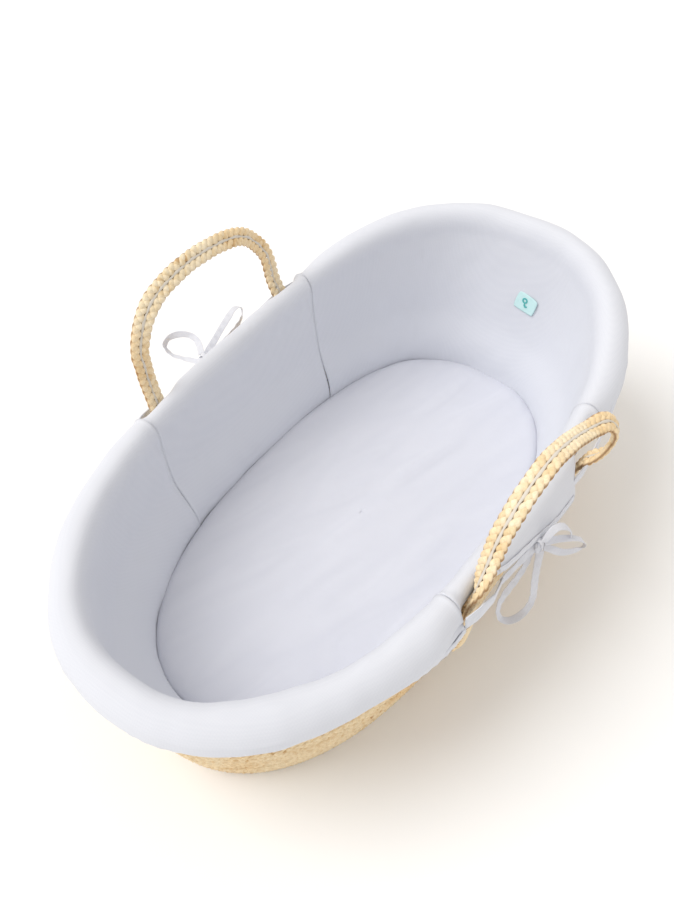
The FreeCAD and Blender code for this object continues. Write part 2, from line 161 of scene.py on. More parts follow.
# Plaits: length of one repeat, how far each leaf sways sideways and up, and half its width and depth
WALL_PLAIT = (0.027, 0.0027, 0.0023, (0.0034, 0.0023))
BORDER_PLAIT = (0.024, 0.0022, 0.0014, (0.0032, 0.0026))
BASE_PLAIT = (0.027, 0.0026, 0.0014, (0.0036, 0.0024))
STRAP_PLAIT = (0.029, 0.0024, 0.0017, (0.0036, 0.0024))
GAP_SHADE_SHEET = 0.0012                # thin sheet behind the rows; it has no tone, so it shows the palm's darkest painted shade colour in their gaps

# Bows: routes counted from their own knots
TAPE_WIDTH = 0.0088
TAPE_THICKNESS = 0.0015
TIE_HALF = 0.0045
KNOT_HALF = (0.006, 0.0058, 0.0078)
KNOT_BAND = (0.0046, 0.0011)
KNOT_LENGTH = 0.0095
KNOT_GIRTH = 0.0048
SKIRT_END_THICKNESS = 0.0014
SKIRT_END_TOPS = {"near": 0.013, "far": 0.002}
STRAP_CLEAR = 0.0265            # a skirt's end passes this far out, outside the strap
BOWS = {
    "near": dict(
        knot=(-0.004, -0.238, 0.191),
        tie_foot=[(-0.005, 0.001, 0.001), (-0.024, 0.003, 0.004), (-0.043, 0.006, 0.002),
                  (-0.064, 0.010, -0.003)],
        tie_head=[(0.005, 0.000, 0.002), (0.026, 0.000, 0.003), (0.048, 0.002, 0.002),
                  (0.071, 0.007, 0.003)],
        loop_low=[(-0.004, 0.003, -0.005), (-0.012, 0.002, -0.020), (-0.025, 0.004, -0.037),
                  (-0.038, 0.009, -0.055), (-0.048, 0.011, -0.074), (-0.050, 0.007, -0.093),
                  (-0.041, -0.002, -0.107), (-0.027, -0.011, -0.106), (-0.017, -0.016, -0.090),
                  (-0.015, -0.016, -0.069), (-0.016, -0.013, -0.046), (-0.013, -0.010, -0.025),
                  (-0.002, -0.005, -0.005)],
        loop_side=[(0.005, -0.005, 0.004), (0.018, -0.013, 0.000), (0.032, -0.023, -0.005),
                   (0.044, -0.033, -0.012), (0.051, -0.039, -0.024), (0.048, -0.035, -0.036),
                   (0.037, -0.025, -0.038), (0.026, -0.019, -0.029), (0.016, -0.014, -0.017),
                   (0.005, -0.006, -0.005)],
        bow_tail=[(0.002, -0.005, 0.006), (0.008, -0.007, 0.016), (0.018, -0.010, 0.021),
                  (0.029, -0.016, 0.015), (0.036, -0.022, 0.003), (0.038, -0.025, -0.011)],
    ),
    "far": dict(
        knot=(0.008, 0.258, 0.188),
        tie_foot=[(-0.005, -0.001, 0.000), (-0.028, -0.003, -0.003), (-0.052, -0.009, -0.003),
                  (-0.077, -0.018, 0.000)],
        tie_head=[(0.005, -0.001, 0.001), (0.022, -0.004, 0.000), (0.040, -0.010, 0.001),
                  (0.060, -0.018, 0.005)],
        loop_low=[(0.002, 0.006, 0.004), (0.014, 0.019, 0.005), (0.020, 0.034, 0.008),
                  (0.014, 0.049, 0.011), (0.000, 0.062, 0.008), (-0.009, 0.066, -0.004),
                  (-0.009, 0.054, -0.014), (-0.006, 0.038, -0.013), (-0.004, 0.022, -0.010),
                  (-0.003, 0.005, -0.005)],
        loop_side=[(0.005, 0.001, 0.004), (0.026, 0.005, 0.009), (0.047, 0.010, 0.014),
                   (0.066, 0.012, 0.021), (0.082, 0.014, 0.027), (0.095, 0.013, 0.020),
                   (0.093, 0.011, 0.005), (0.078, 0.010, -0.005), (0.057, 0.008, -0.007),
                   (0.032, 0.005, -0.007), (0.005, 0.002, -0.005)],
        bow_tail=[(-0.003, 0.005, -0.006), (-0.008, 0.009, -0.020), (-0.018, 0.009, -0.034),
                  (-0.030, 0.005, -0.046), (-0.036, -0.003, -0.062)],
    ),
}

# Mattress
MATTRESS_HALF = (0.333, 0.1715)
MATTRESS_LOW = 0.011
MATTRESS_TOP = 0.054
MATTRESS_SHIFT = 0.006
MATTRESS_EDGE = 0.012           # radius of its upper edge
SHEET_THICKNESS = 0.0010
PAD_INSET = 0.0016              # of the mattress's own face under the sheet
MATTRESS_CLEAR = 0.0018         # between the mattress and the liner
CENTRE_SHARE = 0.0003           # the rings of faces close to within this share of the outline

# Camera, floor and light; angles in degrees
CAMERA_AZIMUTH = -54.33
CAMERA_ELEVATION = 48.98
CAMERA_DISTANCE = 1.1276
CAMERA_TARGET = (0.02961, 0.05667, 0.120)
CAMERA_LENS = 34.45
FLOOR_HALF = 6.0
SUN_PLACE = (-1.1, 1.25, 2.1)
SUN_SIZE = 38
SUN_STRENGTH = 1.7
SUN_COLOUR = (1.0, 0.98, 0.955)
SURROUND_STRENGTH = 0.80
SURROUND_COLOUR = (1.0, 0.972, 0.94, 1)


# Shape of the basket

def signed_power(values, power):
    return np.sign(values) * np.abs(values) ** power


def turns(count):
    """Angles evenly spaced round a circle."""
    return np.linspace(0, 2 * math.pi, count, endpoint=False)


def oval(angle, half_length, half_width):
    """Point of a rounded oval that is fuller at the foot end than at the head end."""
    cosine = np.cos(angle)
    sine = np.sin(angle)
    power = np.where(cosine > 0, HEAD_POWER, FOOT_POWER)
    x = half_length * signed_power(cosine, power)
    y = half_width * signed_power(sine, power)
    return x, y


def rim_point(angle):
    x, y = oval(angle, RIM_HALF_LENGTH, RIM_HALF_WIDTH)
    pinch = PINCH * np.exp(-((x - PINCH_CENTRE) / PINCH_REACH) ** 2)
    return x, np.where(y < 0, y + pinch, y)


def roll_height(angle):
    """Height of the middle of the rim roll."""
    x = rim_point(angle)[0]
    share = np.abs(x) / RIM_HALF_LENGTH
    head = RIM_TOP_SIDE + (RIM_TOP_HEAD - RIM_TOP_SIDE) * share ** HEAD_CLIMB
    foot = RIM_TOP_SIDE + (RIM_TOP_FOOT - RIM_TOP_SIDE) * share ** FOOT_CLIMB
    return np.where(x > 0, head, foot) - ROLL_RADIUS


def outward(angle):
    """Unit vector that points straight out of the basket."""
    step = 0.02
    x0, y0 = rim_point(angle - step)
    x1, y1 = rim_point(angle + step)
    length = np.hypot(x1 - x0, y1 - y0)
    return (y1 - y0) / length, -(x1 - x0) / length


def rim_axes(angle):
    """Unit vectors straight out of the basket and along its rim."""
    nx, ny = outward(angle)
    return np.array([nx, ny, 0.0]), np.array([-ny, nx, 0.0])


def base_stand(angle):
    xr, yr = rim_point(angle)
    xb, yb = oval(angle, BASE_HALF_LENGTH, BASE_HALF_WIDTH)
    nx, ny = outward(angle)
    return (xb + BASE_SHIFT - xr) * nx + (yb - yr) * ny


def from_rim(angle, stand, height):
    """Points that stand outward of the middle of the rim, at a height above the floor."""
    x, y = rim_point(angle)
    nx, ny = outward(angle)
    return np.stack(np.broadcast_arrays(x + nx * stand, y + ny * stand, height), axis=-1)


def wall_stand(angle, height):
    """How far the middle of the wall stands outward of the rim."""
    share = height / roll_height(angle)
    return base_stand(angle) * (1 - share) + WALL_BULGE * 4 * share * (1 - share)


def wall_place(angle, height, stand):
    return from_rim(angle, stand + wall_stand(angle, height), height)


def angle_at(x, side):
    """Angle of the oval where the rim passes x, on the far (1) or near (-1) side."""
    power = HEAD_POWER if x > 0 else FOOT_POWER
    return side * math.acos(math.copysign((abs(x) / RIM_HALF_LENGTH) ** (1 / power), x))


def even_angles(start, end, step):
    """Angles evenly spaced along the rim, and the length along it at each."""
    dense = np.linspace(start, end, 4001)
    x, y = rim_point(dense)
    run = np.concatenate([[0], np.cumsum(np.hypot(np.diff(x), np.diff(y)))])
    along = np.linspace(0, run[-1], round(run[-1] / step) + 1)
    return np.interp(along, run, dense), along


def round_angles(step):
    """Angles evenly spaced along the whole rim, from just past the head's middle."""
    return even_angles(0.01, 2 * math.pi + 0.01, step)[0][:-1]


# Mesh helpers

def unit(vectors):
    return vectors / np.maximum(np.linalg.norm(vectors, axis=-1, keepdims=True), 1e-9)


def quads(index):
    """Faces between the rows and columns of a grid of vertex numbers."""
    corners = [index[:-1, :-1], index[1:, :-1], index[1:, 1:], index[:-1, 1:]]
    return np.stack(corners, axis=-1).reshape(-1, 4)


def add_object(name, vertices, faces, material, tone=None):
    mesh = bpy.data.meshes.new(name)
    mesh.from_pydata(vertices.tolist(), [], faces.tolist())
    mesh.polygons.foreach_set("use_smooth", [True] * len(mesh.polygons))
    if tone is not None:
        attribute = mesh.attributes.new("tone", "FLOAT_VECTOR", "POINT")
        attribute.data.foreach_set("vector", tone.astype(np.float32).ravel())
    mesh.materials.append(material)
    mesh.update()
    piece = bpy.data.objects.new(name, mesh)
    bpy.context.scene.collection.objects.link(piece)
    return piece


def wrap(index, ring):
    return np.vstack([index, index[:1]]) if ring else index


def normals_of(points, ring=False):
    """Unit normals of a grid of points."""
    if ring:
        padded = np.concatenate([points[-1:], points, points[:1]])
        down = (padded[2:] - padded[:-2])
    else:
        down = np.gradient(points, axis=0)
    return unit(np.cross(down, np.gradient(points, axis=1)))


def shell(name, front, thickness, material, ring=False):
    """Closed sheet: a front grid and a back one, sewn round their edges. Its normals face out."""
    back = front - normals_of(front, ring) * thickness
    rows, columns = front.shape[:2]
    top = np.arange(rows * columns).reshape(rows, columns)
    low = top + rows * columns
    faces = [quads(wrap(top, ring)), quads(wrap(low, ring))[:, ::-1]]
    edges = [(low[:, 0], top[:, 0]), (top[:, -1], low[:, -1])]
    if not ring:
        edges += [(top[0], low[0]), (low[-1], top[-1])]
    for first, second in edges:
        faces.append(quads(wrap(np.stack([first, second], axis=1), ring and len(first) == rows)))
    vertices = np.concatenate([front.reshape(-1, 3), back.reshape(-1, 3)])
    return add_object(name, vertices, np.concatenate(faces), material)


def settle(piece, body, slot, *nodes):
    """Puts a piece on its body, in place of its CAD nodes; slot is not used."""
    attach(piece, body)
    if nodes:
        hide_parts(*nodes)


def soft_noise(points, size, seed):
    """Smooth random field with bumps about this size, from -1 to 1."""
    random = np.random.default_rng(seed)
    count = 14
    directions = unit(random.normal(size=(count, 3)))
    lengths = size * random.uniform(1.2, 3.2, count)
    phases = random.uniform(0, 2 * math.pi, count)
    waves = np.sin(points @ directions.T * (2 * math.pi / lengths) + phases)
    return waves.sum(axis=-1) / math.sqrt(count)


def relaxed(points, rounds):
    """Rounds off corners along the second axis and keeps both ends."""
    for _ in range(rounds):
        middle = (points[:, :-2] + 2 * points[:, 1:-1] + points[:, 2:]) / 4
        points = np.concatenate([points[:, :1], middle, points[:, -1:]], axis=1)
    return points


def run_of(line):
    """Length along a line at each of its points."""
    return np.concatenate([[0], np.cumsum(np.linalg.norm(np.diff(line, axis=0), axis=1))])


def length_of(line):
    return float(np.linalg.norm(np.diff(line, axis=0), axis=1).sum())


def ring_step(line):
    """Unit vectors along a closed line."""
    return unit(np.roll(line, -1, axis=0) - np.roll(line, 1, axis=0))


def respaced(line, count):
    """The same line with evenly spaced points."""
    run = run_of(line)
    even = np.linspace(0, run[-1], count)
    return np.stack([np.interp(even, run, values) for values in line.T], axis=1)


def smooth_line(route, step):
    """Evenly spaced points of the NURBS curve that the route's points control."""
    curve = bpy.data.curves.new("route", "CURVE")
    curve.dimensions = "3D"
    curve.resolution_u = 24
    spline = curve.splines.new("NURBS")
    spline.points.add(len(route) - 1)
    for point, place in zip(spline.points, route):
        point.co = (*place, 1.0)
    spline.order_u = 3
    spline.use_endpoint_u = True
    holder = bpy.data.objects.new("route", curve)
    mesh = bpy.data.meshes.new_from_object(holder)
    line = np.array([vertex.co for vertex in mesh.vertices])
    bpy.data.objects.remove(holder)
    bpy.data.meshes.remove(mesh)
    bpy.data.curves.remove(curve)
    return respaced(line, max(8, round(length_of(line) / step) + 1))


def tube(line, wide, flat, width, depth, around):
    """Grid of a tube: wide and flat are its cross-section's unit vectors along the line."""
    turn = turns(around)
    width = np.broadcast_to(width, line.shape[0])[:, None, None]
    depth = np.broadcast_to(depth, line.shape[0])[:, None, None]
    offset = wide[:, None] * width * np.cos(turn)[None, :, None]
    offset = offset + flat[:, None] * depth * np.sin(turn)[None, :, None]
    return line[:, None] + offset


class Bundle:
    """Several tubes gathered into one mesh, each vertex with its tone."""

    def __init__(self):
        self.vertices = []
        self.faces = []
        self.tones = []
        self.count = 0

    def add(self, grid, tone=None, ring=False):
        tone = np.zeros_like(grid) if tone is None else tone
        rows, columns = grid.shape[:2]
        index = np.arange(rows * columns).reshape(rows, columns) + self.count
        looped = np.hstack([index, index[:, :1]])
        self.faces.append(quads(wrap(looped, ring)))
        if not ring:
            for row, turn in ((index[0], 1), (index[-1], -1)):
                half = columns // 2
                strip = np.stack([row[:half], row[half:][::-1]], axis=1)
                self.faces.append(quads(strip)[:, ::-turn])
        self.vertices.append(grid.reshape(-1, 3))
        self.tones.append(tone.reshape(-1, 3))
        self.count += rows * columns

    def build(self, name, material):
        return add_object(
            name, np.concatenate(self.vertices), np.concatenate(self.faces), material,
            np.concatenate(self.tones),
        )


# Materials

def make_material(name, roughness, sheen=0.0):
    material = bpy.data.materials.new(name)
    material.use_nodes = True
    shader = material.node_tree.nodes["Principled BSDF"]
    shader.inputs["Roughness"].default_value = roughness
    shader.inputs["Sheen Weight"].default_value = sheen
    shader.inputs["Sheen Roughness"].default_value = 0.5
    shader.inputs["Specular IOR Level"].default_value = 0.25
    return material, material.node_tree.nodes, material.node_tree.links, shader


def add_noise(nodes, links, source, scale, detail, stretch=None):
    """Noise in the object's own coordinates; stretch scales each axis."""
    noise = nodes.new("ShaderNodeTexNoise")
    noise.inputs["Scale"].default_value = scale
    noise.inputs["Detail"].default_value = detail
    if stretch:
        mapping = nodes.new("ShaderNodeMapping")
        mapping.inputs["Scale"].default_value = stretch
        links.new(source, mapping.inputs["Vector"])
        source = mapping.outputs["Vector"]
    links.new(source, noise.inputs["Vector"])
    return noise.outputs["Fac"]


def add_ramp(nodes, links, source, stops):
    ramp = nodes.new("ShaderNodeValToRGB")
    elements = ramp.color_ramp.elements
    while len(elements) < len(stops):
        elements.new(0.5)
    for element, (position, colour) in zip(elements, stops):
        element.position = position
        element.color = (*colour, 1)
    links.new(source, ramp.inputs["Fac"])
    return ramp.outputs["Color"]


def add_mix(nodes, links, factor, first, second, blend="MIX"):
    mix = nodes.new("ShaderNodeMix")
    mix.data_type = "RGBA"
    mix.blend_type = blend
    for socket, value in ((mix.inputs[0], factor), (mix.inputs[6], first), (mix.inputs[7], second)):
        if isinstance(value, (int, float)):
            socket.default_value = value
        elif isinstance(value, tuple):
            socket.default_value = (*value, 1)
        else:
            links.new(value, socket)
    return mix.outputs[2]


def add_bump(nodes, links, height, strength, distance, before=None):
    bump = nodes.new("ShaderNodeBump")
    bump.inputs["Strength"].default_value = strength
    bump.inputs["Distance"].default_value = distance
    links.new(height, bump.inputs["Height"])
    if before is not None:
        links.new(before, bump.inputs["Normal"])
    return bump.outputs["Normal"]


def palm_material(name, pale, straw, deep, shade):
    """Dry palm leaf: tone.x is the leaf's own colour, tone.y runs along it, tone.z is painted shade: dark
    in the gaps between leaves, light on their tops.
    """
    material, nodes, links, shader = make_material(name, 0.62, 0.08)
    place = nodes.new("ShaderNodeTexCoord").outputs["Object"]
    tone = nodes.new("ShaderNodeAttribute")
    tone.attribute_name = "tone"
    parts = nodes.new("ShaderNodeSeparateXYZ")
    links.new(tone.outputs["Vector"], parts.inputs["Vector"])
    leaf = add_ramp(nodes, links, parts.outputs["X"], [
        (0.0, deep), (0.22, straw), (0.62, pale), (1.0, tuple(min(1, c * 1.08) for c in pale)),
    ])
    patches = add_ramp(nodes, links, add_noise(nodes, links, place, 9, 2), [
        (0.46, (1, 1, 1)), (0.66, (0.98, 0.83, 0.62)), (0.80, (0.80, 0.62, 0.55)),
    ])
    colour = add_mix(nodes, links, 0.75, leaf, patches, "MULTIPLY")
    fibres = add_noise(nodes, links, tone.outputs["Vector"], 1.0, 4, (3, 60, 14))
    streaks = add_ramp(nodes, links, fibres, [(0.3, (0.80, 0.72, 0.58)), (0.62, (1, 1, 1))])
    colour = add_mix(nodes, links, 0.6, colour, streaks, "MULTIPLY")
    # Painted shade: tone.z darkens the gaps between leaves and the sides of each leaf towards the shade
    # colour
    depth = add_ramp(nodes, links, parts.outputs["Z"], [(0.0, shade), (0.56, (1, 1, 1))])
    colour = add_mix(nodes, links, 1.0, colour, depth, "MULTIPLY")
    links.new(colour, shader.inputs["Base Color"])
    normal = add_bump(nodes, links, fibres, 0.5, 0.0006)
    normal = add_bump(nodes, links, add_noise(nodes, links, place, 420, 3), 0.35, 0.0004, normal)
    links.new(normal, shader.inputs["Normal"])
    return material


def cotton_material(name, colour, shade, weave=2600, crinkle=0.35):
    """Plain cotton: a fine crossing weave, faint unevenness of dye, and soft small creases."""
    material, nodes, links, shader = make_material(name, 0.86, 0.25)
    place = nodes.new("ShaderNodeTexCoord").outputs["Object"]
    dye = add_noise(nodes, links, place, 7, 3)
    threads = []
    for direction in ("X", "Y", "Z"):
        wave = nodes.new("ShaderNodeTexWave")
        wave.bands_direction = direction
        wave.inputs["Scale"].default_value = weave / 20
        wave.inputs["Distortion"].default_value = 0.6
        wave.inputs["Detail"].default_value = 1
        links.new(place, wave.inputs["Vector"])
        threads.append(wave.outputs["Color"])
    cloth = add_mix(nodes, links, 0.5, threads[0], threads[1])
    cloth = add_mix(nodes, links, 0.34, cloth, threads[2])
    tint = add_mix(nodes, links, dye, shade, colour)
    tint = add_mix(nodes, links, 0.05, tint, cloth, "OVERLAY")
    links.new(tint, shader.inputs["Base Color"])
    normal = add_bump(nodes, links, cloth, 0.12, 0.0002)
    normal = add_bump(nodes, links, add_noise(nodes, links, place, 30, 3), crinkle, 0.0016, normal)
    links.new(normal, shader.inputs["Normal"])
    return material


def floor_material():
    material, nodes, links, shader = make_material("floor_paper", 0.9)
    place = nodes.new("ShaderNodeTexCoord").outputs["Object"]
    grain = add_ramp(nodes, links, add_noise(nodes, links, place, 3, 2), [
        (0.3, (0.925, 0.935, 0.945)), (0.7, (0.94, 0.95, 0.96)),
    ])
    links.new(grain, shader.inputs["Base Color"])
    return material


PALM = palm_material(
    "palm_braid", (0.86, 0.71, 0.48), (0.75, 0.55, 0.31), (0.55, 0.34, 0.16), (0.26, 0.15, 0.07),
)
STRAP_PALM = palm_material(
    "handle_braid", (0.93, 0.81, 0.60), (0.86, 0.70, 0.45), (0.64, 0.43, 0.22), (0.34, 0.19, 0.09),
)
LINER = cotton_material("liner_cotton", (0.705, 0.725, 0.785), (0.675, 0.695, 0.755))
SHEET = cotton_material("sheet_cotton", (0.685, 0.700, 0.765), (0.655, 0.670, 0.740), crinkle=0.5)
TAPE = cotton_material("tape_cotton", (0.71, 0.725, 0.785), (0.66, 0.675, 0.73), crinkle=0.8)
# Tan, darker than the white cotton cord, so the groove between the braids reads dark: painted shade
CORD = cotton_material("cotton_cord", (0.74, 0.69, 0.61), (0.66, 0.61, 0.53), weave=1800)
WADDING = cotton_material("wadding", (0.88, 0.88, 0.87), (0.80, 0.80, 0.79), crinkle=1.0)
FOAM = cotton_material("foam", (0.85, 0.82, 0.74), (0.80, 0.77, 0.69), crinkle=0.6)
THREAD = cotton_material("thread", (0.48, 0.48, 0.53), (0.42, 0.42, 0.47))
LABEL = cotton_material("label", (0.62, 0.86, 0.86), (0.56, 0.80, 0.81))
MOTIF = cotton_material("label_motif", (0.10, 0.52, 0.50), (0.08, 0.44, 0.44))


# Camera, floor and light

def add_camera():
    azimuth = math.radians(CAMERA_AZIMUTH)
    elevation = math.radians(CAMERA_ELEVATION)
    back = Vector((
        math.sin(azimuth) * math.cos(elevation),
        -math.cos(azimuth) * math.cos(elevation),
        math.sin(elevation),
    ))
    data = bpy.data.cameras.new("camera")
    data.lens = CAMERA_LENS
    data.sensor_width = 36
    camera = bpy.data.objects.new("camera", data)
    camera.location = Vector(CAMERA_TARGET) + back * CAMERA_DISTANCE
    camera.rotation_euler = (-back).to_track_quat("-Z", "Y").to_euler()
    bpy.context.scene.collection.objects.link(camera)
    bpy.context.scene.camera = camera


def add_floor():
    near = -FLOOR_HALF
    far = FLOOR_HALF
    corners = np.array([(near, near, 0), (near, far, 0), (far, near, 0), (far, far, 0)], float)
    add_object("floor", corners, np.array([[0, 2, 3, 1]]), floor_material())


def add_lighting():
    """One soft sun from the far foot side, and a pale warm surround."""
    world = bpy.data.worlds.new("studio")
    world.use_nodes = True
    surround = world.node_tree.nodes["Background"].inputs
    surround["Color"].default_value = SURROUND_COLOUR
    surround["Strength"].default_value = SURROUND_STRENGTH
    bpy.context.scene.world = world
    data = bpy.data.lights.new("key", "SUN")
    data.energy = SUN_STRENGTH
    data.color = SUN_COLOUR
    data.angle = math.radians(SUN_SIZE)
    light = bpy.data.objects.new("key", data)
    light.location = SUN_PLACE
    light.rotation_euler = (-light.location).to_track_quat("-Z", "Y").to_euler()
    bpy.context.scene.collection.objects.link(light)
    bpy.context.scene.view_settings.view_transform = "Standard"


# Bows

def tape(name, line, face, twist):
    """Flat cotton tape with folded edges; face is the way its broad side looks at the start."""
    tangent = unit(np.gradient(line, axis=0))
    wide = unit(np.cross(tangent, np.array(face, float)))
    flat = unit(np.cross(wide, tangent))
    share = np.linspace(0, 1, len(line))
    turn = np.radians(np.interp(share, np.linspace(0, 1, len(twist)), twist))[:, None]
    wide, flat = (
        wide * np.cos(turn) + flat * np.sin(turn),
        flat * np.cos(turn) - wide * np.sin(turn),
    )
    angle = turns(20)
    across = signed_power(np.cos(angle), 0.55)
    fold = 0.62 + 0.38 * np.abs(across) ** 6
    high = signed_power(np.sin(angle), 0.8) * fold
    crease = 0.0005 * np.sin(2 * math.pi * line @ np.array([55.0, 70.0, 60.0]))
    half = TAPE_WIDTH / 2 * (1 + 0.05 * np.sin(share * 23 + len(line)))
    grid = line[:, None] + wide[:, None] * (half[:, None] * across)[:, :, None]
    cup = crease[:, None] * np.sin(across * 2.2)[None, :]
    grid = grid + flat[:, None] * (high * TAPE_THICKNESS / 2 + cup)[:, :, None]
    bundle = Bundle()
    bundle.add(grid)
    return bundle.build(name, TAPE)


def knot(name, place):
    """A band of the tape pulled round the crossing, with the gathers that it squeezes."""
    bundle = Bundle()
    place = np.array(place)
    rows = 28
    turn = turns(rows)
    outer = np.stack([0.15 * np.sin(turn), np.cos(turn), np.sin(turn)], axis=1)
    centre = place + outer * np.array(KNOT_HALF)
    wide = np.tile(unit(np.array([1.0, 0.25, -0.15])), (rows, 1))
    wobble = 1 + 0.12 * np.sin(3 * turn)
    bundle.add(tube(centre, wide, unit(outer), KNOT_BAND[0] * wobble, KNOT_BAND[1], 12), ring=True)
    rows = 18
    steps = np.linspace(-1, 1, rows)
    side = np.tile(np.array([0.0, 1.0, 0.0]), (rows, 1))
    up = np.tile(np.array([0.0, 0.0, 1.0]), (rows, 1))
    for tilt, phase in ((0.0, 0.0), (0.5, 1.7)):
        sway = 0.002 * np.sin(3 * steps + phase)
        line = place + np.stack([steps * KNOT_LENGTH, sway, tilt * steps * 0.005], axis=1)
        girth = KNOT_GIRTH + KNOT_GIRTH / 4 * np.cos(4 * steps + phase)
        girth = girth * np.sqrt(np.clip(1.04 - steps ** 4, 0.04, 1))
        grid = tube(line, side, up, girth * 0.9, girth, 20)
        ridge = 1 + 0.14 * np.cos(7 * turns(20) + phase)
        bundle.add(line[:, None] + (grid - line[:, None]) * ridge[None, :, None])
    return bundle.build(name, TAPE)


# How each tape's broad side faces at its start, and its twist in degrees along its length
FACES = {
    "near": dict(
        tie_foot=((0, -0.9, 0.4), (0, 0, 20)), tie_head=((0, -0.9, 0.4), (0, -10, 10)),
        loop_low=((-0.5, -0.75, 0.35), (10, 0, -10, 25, 60, 25, 0, 10, 30)),
        loop_side=((-0.2, -0.5, 0.85), (0, 20, 35, 60, 40, 20, 0)),
        bow_tail=((-0.3, -0.7, 0.5), (0, 25, 60, 30)),
    ),
    "far": dict(
        tie_foot=((0, 0.9, 0.4), (0, 0, -20)), tie_head=((0, 0.9, 0.4), (0, 10, -10)),
        loop_low=((-0.3, -0.1, 0.95), (0, 20, 45, 75, 45, 20, 0)),
        loop_side=((-0.1, -0.6, 0.8), (0, 10, 30, 70, 40, 20, 0)),
        bow_tail=((-0.2, 0.8, 0.5), (0, 30, 60)),
    ),
}


def add_bow(name):
    bow = BOWS[name]
    knot_piece = knot(f"{name}_bow_knot", bow["knot"])
    settle(knot_piece, "basket", "liner_cotton", f"{name}_knot")
    for part in ("tie_foot", "tie_head", "loop_low", "loop_side", "bow_tail"):
        route = [tuple(np.array(bow["knot"]) + np.array(step)) for step in bow[part]]
        if part.startswith("tie"):
            route.reverse()
        line = smooth_line(route, 0.002)
        face, twist = FACES[name][part]
        piece = tape(f"{name}_tape_{part}", line, face, twist)
        settle(piece, "basket", "liner_cotton", f"{name}_{part}")


# Palm plaits

def plait(bundle, line, across, lift, sizes, scale=1.0, ring=False, around=8):
    """Three flat leaf strands plaited along a line; across and lift are its unit vectors."""
    pitch, lateral, depth, strand = sizes
    run = run_of(wrap(line, ring))
    length = run[-1]
    run = run[:len(line)]
    period = length / max(1, round(length / pitch)) if ring else pitch
    scale = np.broadcast_to(scale, len(line))[:, None]
    offset = RANDOM.uniform(0, 2 * math.pi)
    for k in range(3):
        phase = 2 * math.pi * (run / period + k / 3) + (0 if ring else offset)
        sway = (lateral * np.sin(phase))[:, None] * scale
        rise = (depth * np.sin(2 * phase))[:, None] * scale
        centre = line + across * sway + lift * rise
        tangent = ring_step(centre) if ring else unit(np.gradient(centre, axis=0))
        wide = unit(np.cross(lift, tangent))
        flat = unit(np.cross(tangent, wide))
        swell = 1 + 0.10 * np.sin(2 * phase) + 0.06 * np.sin(phase * 0.37 + k)
        width = strand[0] * scale[:, 0] * swell
        thick = strand[1] * scale[:, 0] * swell
        grid = tube(centre, wide, flat, width, thick, around)
        grid[..., 2] = np.maximum(grid[..., 2], FLOOR_CLEAR)
        leaf = np.floor(phase / math.pi - 0.25).astype(int)
        colours = np.clip(RANDOM.normal(0.62, 0.22, leaf.max() - leaf.min() + 1), 0, 1)
        place = grid - line[:, None]
        # Painted light: lighter where the leaf stands high and in its middle, darker at its sides and in
        # the gaps; stored as tone.z
        high = (np.einsum("ijk,ik->ij", place, lift) / scale) / (depth + strand[1])
        reach = np.abs(np.einsum("ijk,ik->ij", place, across) / scale) / (lateral + strand[0])
        painted_light = np.clip(np.abs(high) * 0.9 + 0.25 * (1 - reach), 0, 1)
        tone = np.stack([
            np.broadcast_to(colours[leaf - leaf.min()][:, None], high.shape),
            np.broadcast_to((run * 8 + k * 0.37)[:, None], high.shape),
            painted_light,
        ], axis=-1)
        bundle.add(grid, tone, ring)


def wall_row(bundle, share):
    """One plait round the wall at a share of its height."""
    angles = round_angles(0.0021)
    top = roll_height(angles) - WALL_STOP
    height = top * share
    line = wall_place(angles, height, 0.0)
    above = wall_place(angles, height + 0.002, 0.0)
    below = wall_place(angles, height - 0.002, 0.0)
    across = unit(above - below)
    lift = unit(np.cross(ring_step(line), across))
    spacing = top / WALL_ROWS / ROW_PITCH
    wobble = soft_noise(line, 0.09, int(share * 1000)) * 0.0006
    line = line + lift * wobble[:, None]
    plait(bundle, line, across, lift, WALL_PLAIT, spacing, True)


def add_wall():
    groups = np.array_split(np.arange(WALL_ROWS), 4)
    for number, rows in enumerate(groups):
        bundle = Bundle()
        for row in rows:
            wall_row(bundle, (row + 0.5) / WALL_ROWS)
        piece = bundle.build(f"wall_rows_{number + 1}", PALM)
        settle(piece, "basket", "palm_braid", *(["woven_wall"] if number == 0 else []))
    # Thin sheet behind the rows, with no tone, so it shows the palm's painted shade colour in their gaps
    angles = round_angles(0.006)
    levels = np.linspace(0.004, 1.0, 40)
    heights = (roll_height(angles) - WALL_STOP)[:, None] * levels[None, :]
    front = wall_place(angles[:, None], heights, -GAP_SHADE_SHEET)
    settle(shell("wall_gap_shade_sheet", front, GAP_SHADE_SHEET, PALM, ring=True), "basket", "palm_braid")


def add_border():
    """Thick plait along the top of the wall, inside the liner's roll."""
    bundle = Bundle()
    angles = round_angles(0.003)
    line = from_rim(angles, 0.0, roll_height(angles) + 0.0018)
    lift = unit(from_rim(angles, 0.001, 0.0 * angles) - from_rim(angles, 0.0, 0.0 * angles))
    plait(bundle, line, unit(np.cross(lift, ring_step(line))), lift, BORDER_PLAIT, 1.0, True)
    settle(bundle.build("border_plait", PALM), "basket", "palm_braid", "border_braid")


